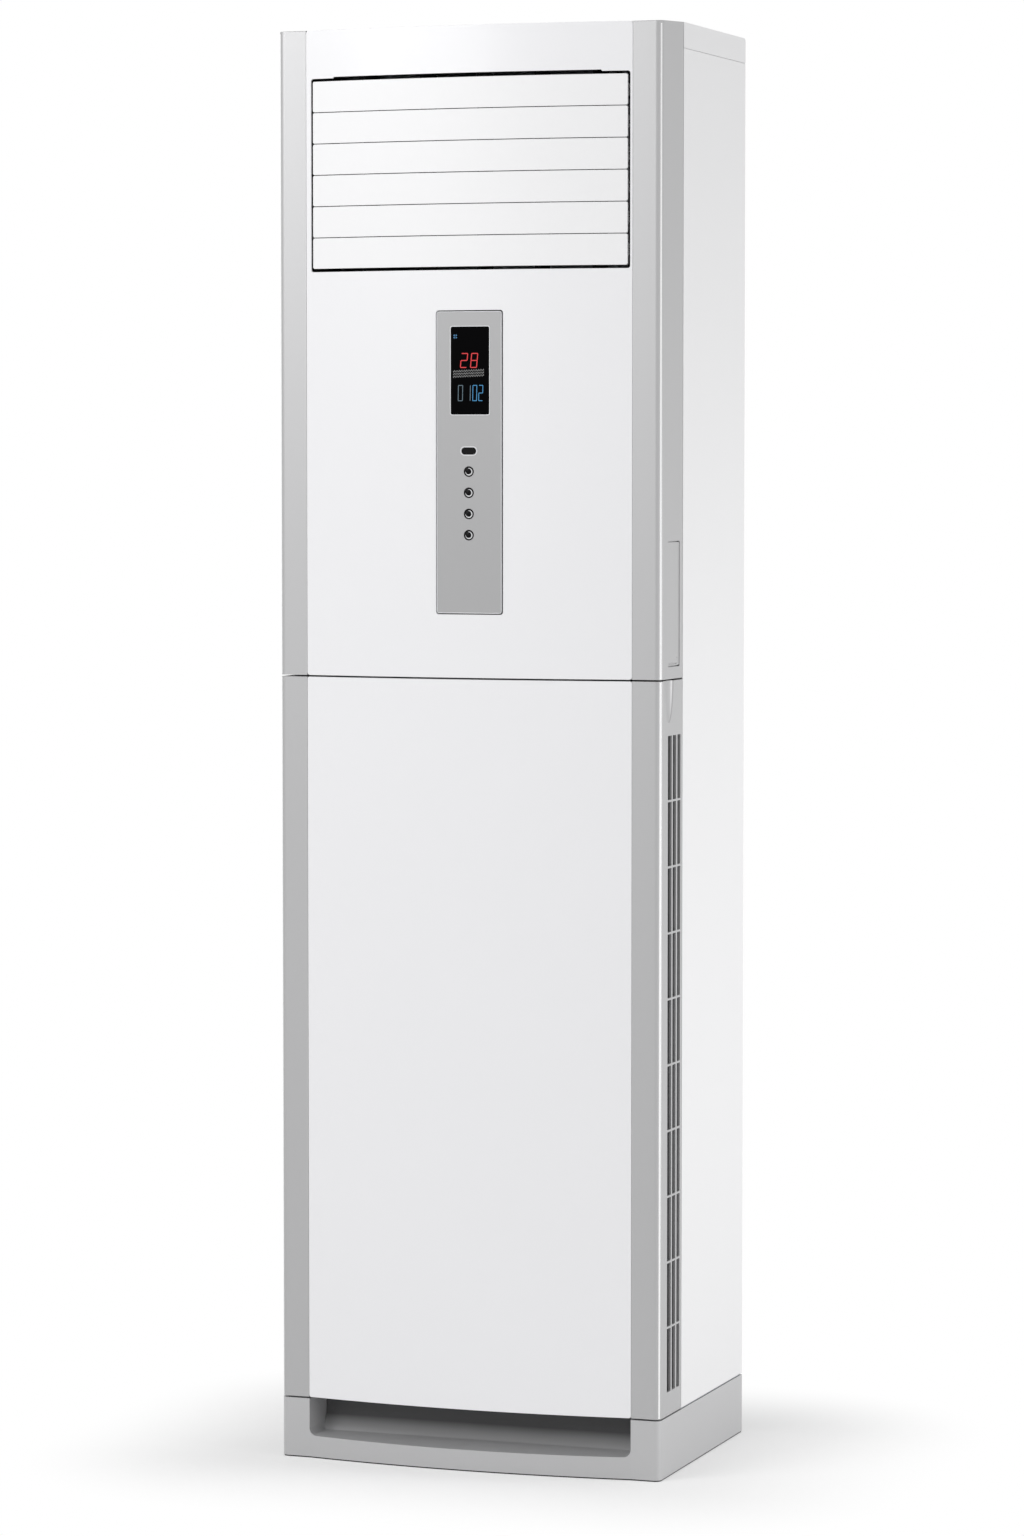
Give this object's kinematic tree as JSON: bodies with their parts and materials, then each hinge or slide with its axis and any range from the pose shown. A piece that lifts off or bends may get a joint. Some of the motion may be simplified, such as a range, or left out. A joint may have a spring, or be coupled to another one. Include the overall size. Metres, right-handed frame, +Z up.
{
  "type": "floor standing air conditioner",
  "caption": "Upright cabinet air conditioner with a bowed front, grey corner pillars, side-hung lower door, closed louvred outlet and a narrow control fascia.",
  "frame": {"origin": "centre of the object's box, at the floor", "axes": "+Z up, -Y the front, +X to the right of someone who looks at the front"},
  "size_m": [0.48, 0.3464, 1.715],
  "materials": {
    "white_panel": "smooth white panel, satin gloss",
    "side_sheet": "off-white powder coat",
    "grey_shell": "silver-grey moulded plastic, satin",
    "louvre_white": "white moulded plastic",
    "dark_plastic": "dark grey moulded plastic",
    "black_window": "glossy black window",
    "key_grey": "light grey plastic",
    "zinc_sheet": "galvanised sheet steel",
    "inner_white": "white inner moulding",
    "fin_metal": "bare aluminium fins",
    "copper": "bare copper tube",
    "board_green": "green circuit board",
    "steel": "plain steel",
    "rubber_black": "black rubber",
    "filter_blue": "grey-blue filter net"
  },
  "bodies": {
    "cabinet": {"upper_front_panel": "white_panel", "side_panel_left": "side_sheet", "side_panel_right": "side_sheet", "top_cover": "side_sheet", "base_plinth": "grey_shell", "upper_pillar_left": "grey_shell", "upper_pillar_right": "grey_shell", "grip_inset_left": "grey_shell", "grip_inset_right": "grey_shell", "control_fascia": "grey_shell", "outlet_frame": "dark_plastic", "intake_grille": "dark_plastic", "display_window": "black_window", "base_pan": "zinc_sheet", "rear_panel": "zinc_sheet", "wall_bracket": "zinc_sheet", "partition_deck": "zinc_sheet", "coil_cover": "zinc_sheet", "motor_bracket": "zinc_sheet", "electrical_box": "zinc_sheet", "blower_housing": "inner_white", "blower_front": "inner_white", "drain_pan": "inner_white", "drain_pipe": "inner_white", "evaporator_core": "fin_metal", "evaporator_bends": "copper", "gas_pipe": "copper", "liquid_pipe": "copper", "display_board": "board_green", "control_board": "board_green", "louvre_motor": "steel", "vane_motor": "steel", "fan_motor": "steel", "run_capacitor": "steel", "hinge_pin_lower": "steel", "hinge_pin_upper": "steel", "cable_grommet": "rubber_black"},
    "door": {"door_panel": "white_panel", "door_pillar_left": "grey_shell", "door_pillar_right": "grey_shell"},
    "fan_wheel": {"fan_wheel": "dark_plastic"},
    "air_filter": {"air_filter": "filter_blue"},
    "louvre_link": {"louvre_link": "key_grey"},
    "vane_link": {"vane_link": "key_grey"},
    "louvre_1": {"louvre_1": "louvre_white"},
    "louvre_2": {"louvre_2": "louvre_white"},
    "louvre_3": {"louvre_3": "louvre_white"},
    "louvre_4": {"louvre_4": "louvre_white"},
    "louvre_5": {"louvre_5": "louvre_white"},
    "louvre_6": {"louvre_6": "louvre_white"},
    "vane_1": {"vane_1": "dark_plastic"},
    "vane_2": {"vane_2": "dark_plastic"},
    "vane_3": {"vane_3": "dark_plastic"},
    "vane_4": {"vane_4": "dark_plastic"},
    "vane_5": {"vane_5": "dark_plastic"},
    "power_button": {"power_button": "key_grey"},
    "mode_button": {"mode_button": "key_grey"},
    "fan_button": {"fan_button": "key_grey"},
    "up_button": {"up_button": "key_grey"},
    "down_button": {"down_button": "key_grey"}
  },
  "joints": [
    {"name": "door_hinge", "type": "hinge", "parent": "cabinet", "child": "door", "pos_m": [-0.234, -0.0798, 0.5], "axis": [0, 0, -1], "range_deg": [0, 88]},
    {"name": "louvre_1_tilt", "type": "hinge", "parent": "cabinet", "child": "louvre_1", "pos_m": [0, -0.1488, 1.632], "axis": [-1, 0, 0], "range_deg": [0, 80]},
    {"name": "louvre_2_tilt", "type": "hinge", "parent": "cabinet", "child": "louvre_2", "pos_m": [0, -0.1488, 1.595], "axis": [-1, 0, 0], "range_deg": [0, 80]},
    {"name": "louvre_3_tilt", "type": "hinge", "parent": "cabinet", "child": "louvre_3", "pos_m": [0, -0.1488, 1.558], "axis": [-1, 0, 0], "range_deg": [0, 80]},
    {"name": "louvre_4_tilt", "type": "hinge", "parent": "cabinet", "child": "louvre_4", "pos_m": [0, -0.1488, 1.521], "axis": [-1, 0, 0], "range_deg": [0, 80]},
    {"name": "louvre_5_tilt", "type": "hinge", "parent": "cabinet", "child": "louvre_5", "pos_m": [0, -0.1488, 1.484], "axis": [-1, 0, 0], "range_deg": [0, 80]},
    {"name": "louvre_6_tilt", "type": "hinge", "parent": "cabinet", "child": "louvre_6", "pos_m": [0, -0.1488, 1.447], "axis": [-1, 0, 0], "range_deg": [0, 80]},
    {"name": "louvre_link_pivot", "type": "hinge", "parent": "louvre_1", "child": "louvre_link", "pos_m": [-0.2093, -0.1368, 1.632], "axis": [-1, 0, 0], "range_deg": [-80, 0]},
    {"name": "vane_1_swing", "type": "hinge", "parent": "cabinet", "child": "vane_1", "pos_m": [-0.144, -0.1048, 1.54], "axis": [0, 0, 1], "range_deg": [-30, 30]},
    {"name": "vane_2_swing", "type": "hinge", "parent": "cabinet", "child": "vane_2", "pos_m": [-0.072, -0.1048, 1.54], "axis": [0, 0, 1], "range_deg": [-30, 30]},
    {"name": "vane_3_swing", "type": "hinge", "parent": "cabinet", "child": "vane_3", "pos_m": [0, -0.1048, 1.54], "axis": [0, 0, 1], "range_deg": [-30, 30]},
    {"name": "vane_4_swing", "type": "hinge", "parent": "cabinet", "child": "vane_4", "pos_m": [0.072, -0.1048, 1.54], "axis": [0, 0, 1], "range_deg": [-30, 30]},
    {"name": "vane_5_swing", "type": "hinge", "parent": "cabinet", "child": "vane_5", "pos_m": [0.144, -0.1048, 1.54], "axis": [0, 0, 1], "range_deg": [-30, 30]},
    {"name": "vane_link_pivot", "type": "hinge", "parent": "vane_1", "child": "vane_link", "pos_m": [-0.144, -0.0948, 1.413], "axis": [0, 0, 1], "range_deg": [-30, 30]},
    {"name": "fan_spin", "type": "hinge", "parent": "cabinet", "child": "fan_wheel", "pos_m": [-0.012, 0.0532, 0.325], "axis": [0, 1, 0], "continuous": true},
    {"name": "power_press", "type": "slide", "parent": "cabinet", "child": "power_button", "axis": [0, 1, 0], "range_m": [0, 0.001], "stiffness_N_per_m": 500},
    {"name": "mode_press", "type": "slide", "parent": "cabinet", "child": "mode_button", "axis": [0, 1, 0], "range_m": [0, 0.001], "stiffness_N_per_m": 500},
    {"name": "fan_press", "type": "slide", "parent": "cabinet", "child": "fan_button", "axis": [0, 1, 0], "range_m": [0, 0.001], "stiffness_N_per_m": 500},
    {"name": "up_press", "type": "slide", "parent": "cabinet", "child": "up_button", "axis": [0, 1, 0], "range_m": [0, 0.001], "stiffness_N_per_m": 500},
    {"name": "down_press", "type": "slide", "parent": "cabinet", "child": "down_button", "axis": [0, 1, 0], "range_m": [0, 0.001], "stiffness_N_per_m": 500},
    {"name": "filter_slide", "type": "slide", "parent": "cabinet", "child": "air_filter", "axis": [0, 0, 1], "range_m": [0, 0.25]}
  ],
  "couplings": [
    {"joint": "louvre_2_tilt", "follows": "louvre_1_tilt", "ratio": 1},
    {"joint": "louvre_3_tilt", "follows": "louvre_1_tilt", "ratio": 1},
    {"joint": "louvre_4_tilt", "follows": "louvre_1_tilt", "ratio": 1},
    {"joint": "louvre_5_tilt", "follows": "louvre_1_tilt", "ratio": 1},
    {"joint": "louvre_6_tilt", "follows": "louvre_1_tilt", "ratio": 1},
    {"joint": "louvre_link_pivot", "follows": "louvre_1_tilt", "ratio": -1},
    {"joint": "vane_2_swing", "follows": "vane_1_swing", "ratio": 1},
    {"joint": "vane_3_swing", "follows": "vane_1_swing", "ratio": 1},
    {"joint": "vane_4_swing", "follows": "vane_1_swing", "ratio": 1},
    {"joint": "vane_5_swing", "follows": "vane_1_swing", "ratio": 1},
    {"joint": "vane_link_pivot", "follows": "vane_1_swing", "ratio": -1}
  ]
}
